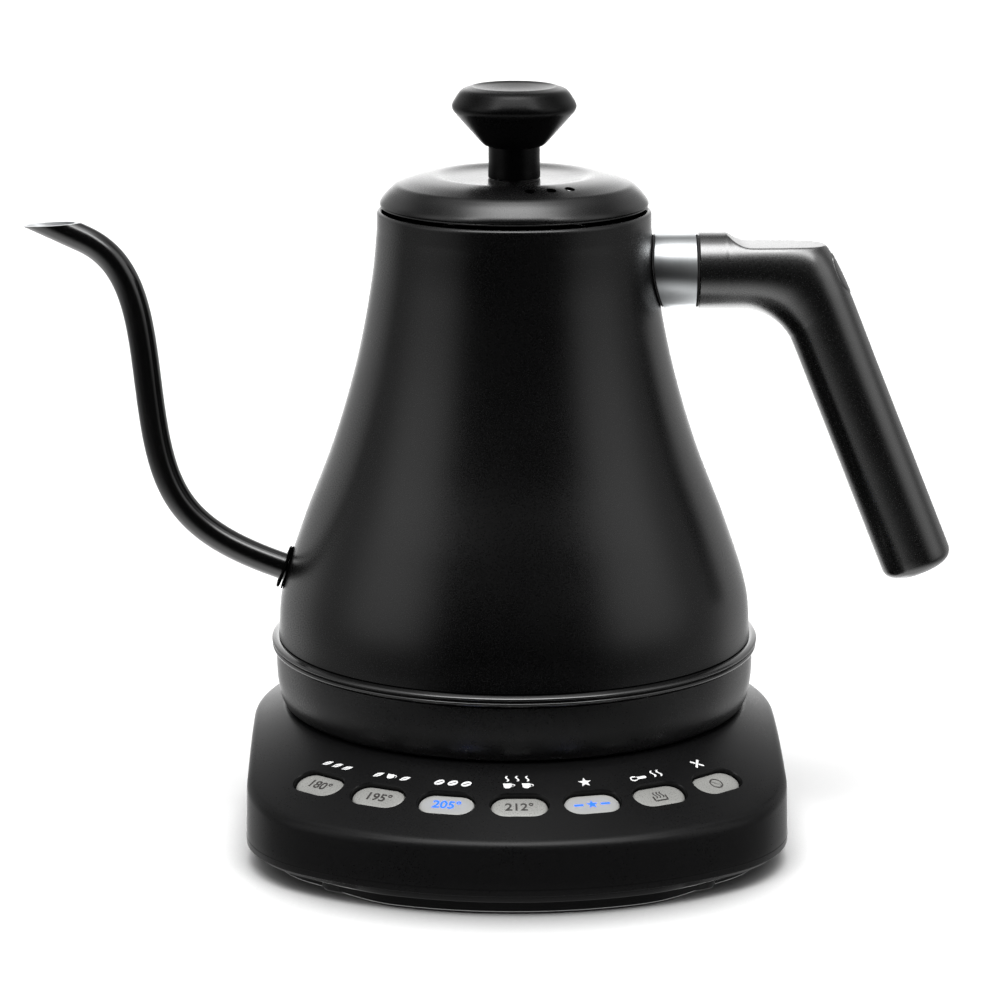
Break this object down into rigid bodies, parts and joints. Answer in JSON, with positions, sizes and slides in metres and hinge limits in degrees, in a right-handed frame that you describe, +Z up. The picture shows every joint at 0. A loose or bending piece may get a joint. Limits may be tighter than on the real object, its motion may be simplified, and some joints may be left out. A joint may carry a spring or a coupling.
{
  "type": "gooseneck kettle",
  "caption": "Electric gooseneck kettle with a pear-shaped vessel, lift-off lid and side handle, standing on a powered base with a sloping panel of pill-shaped buttons.",
  "frame": {"origin": "on the kettle's vertical axis, in the plane of the table that the feet stand on", "axes": "+X towards the handle, -X towards the spout, -Y towards the control panel, +Z up"},
  "size_m": [0.29, 0.1937, 0.2308],
  "materials": {
    "powder_coat": "fine-grained matte powder coat",
    "satin_black": "satin black enamel",
    "moulded_black": "fine-textured black moulded plastic",
    "switch_black": "plain black plastic",
    "rubber": "matte black rubber",
    "silicone": "translucent grey silicone",
    "brushed_steel": "brushed round the sleeve",
    "plain_steel": "plain drawn stainless steel",
    "aluminium": "cast and turned",
    "brass": "plain contact brass",
    "button_grey": "satin warm grey caps with printed symbols, two of them lit blue",
    "circuit_board": "green solder mask",
    "relay_case": "blue moulded case"
  },
  "bodies": {
    "base": {"base_housing": "moulded_black", "base_pan": "moulded_black", "base_post": "moulded_black", "contact_pin": "brass", "contact_ring": "brass", "control_board": "circuit_board", "power_board": "circuit_board", "relay": "relay_case", "cord_gland": "rubber", "tact_switch_1": "switch_black", "tact_switch_2": "switch_black", "tact_switch_3": "switch_black", "tact_switch_4": "switch_black", "tact_switch_5": "switch_black", "tact_switch_6": "switch_black", "tact_switch_7": "switch_black", "foot_1": "rubber", "foot_2": "rubber", "foot_3": "rubber", "foot_4": "rubber", "base_screw_1": "plain_steel", "base_screw_2": "plain_steel", "base_screw_3": "plain_steel", "base_screw_4": "plain_steel"},
    "kettle_coupler": {"kettle_connector": "moulded_black"},
    "kettle": {"vessel": "powder_coat", "trim_ring": "satin_black", "spout": "satin_black", "spout_flange": "satin_black", "skirt": "moulded_black", "bottom_cover": "moulded_black", "handle": "moulded_black", "handle_inlay": "moulded_black", "spout_gasket": "rubber", "ferrule_gasket": "rubber", "handle_washer": "rubber", "handle_ferrule": "brushed_steel", "vessel_floor": "plain_steel", "heating_element": "plain_steel", "temperature_probe": "plain_steel", "handle_stud": "plain_steel", "handle_screw": "plain_steel", "heat_spreader": "aluminium"},
    "lid": {"lid_cover": "powder_coat", "lid_plate": "plain_steel", "lid_seal": "silicone", "knob_stem": "moulded_black", "knob": "moulded_black", "knob_screw": "plain_steel"},
    "key_1": {"button_1": "button_grey"},
    "key_2": {"button_2": "button_grey"},
    "key_3": {"button_3": "button_grey"},
    "key_4": {"button_4": "button_grey"},
    "key_5": {"button_5": "button_grey"},
    "key_6": {"button_6": "button_grey"},
    "key_7": {"button_7": "button_grey"}
  },
  "joints": [
    {"name": "kettle_lift", "type": "slide", "parent": "base", "child": "kettle_coupler", "axis": [0, 0, 1], "range_m": [0, 0.08]},
    {"name": "kettle_swivel", "type": "hinge", "parent": "kettle_coupler", "child": "kettle", "pos_m": [0, 0, 0.045], "axis": [0, 0, 1], "continuous": true},
    {"name": "lid_lift", "type": "slide", "parent": "kettle", "child": "lid", "axis": [0, 0, 1], "range_m": [0, 0.06]},
    {"name": "key_1_press", "type": "slide", "parent": "base", "child": "key_1", "axis": [0.2486, 0.2802, -0.9272], "range_m": [0, 0.0008], "stiffness_N_per_m": 1800},
    {"name": "key_2_press", "type": "slide", "parent": "base", "child": "key_2", "axis": [0.1742, 0.3316, -0.9272], "range_m": [0, 0.0008], "stiffness_N_per_m": 1800},
    {"name": "key_3_press", "type": "slide", "parent": "base", "child": "key_3", "axis": [0.0897, 0.3637, -0.9272], "range_m": [0, 0.0008], "stiffness_N_per_m": 1800},
    {"name": "key_4_press", "type": "slide", "parent": "base", "child": "key_4", "axis": [0, 0.3746, -0.9272], "range_m": [0, 0.0008], "stiffness_N_per_m": 1800},
    {"name": "key_5_press", "type": "slide", "parent": "base", "child": "key_5", "axis": [-0.0897, 0.3637, -0.9272], "range_m": [0, 0.0008], "stiffness_N_per_m": 1800},
    {"name": "key_6_press", "type": "slide", "parent": "base", "child": "key_6", "axis": [-0.1742, 0.3316, -0.9272], "range_m": [0, 0.0008], "stiffness_N_per_m": 1800},
    {"name": "key_7_press", "type": "slide", "parent": "base", "child": "key_7", "axis": [-0.2486, 0.2802, -0.9272], "range_m": [0, 0.0008], "stiffness_N_per_m": 1800}
  ]
}
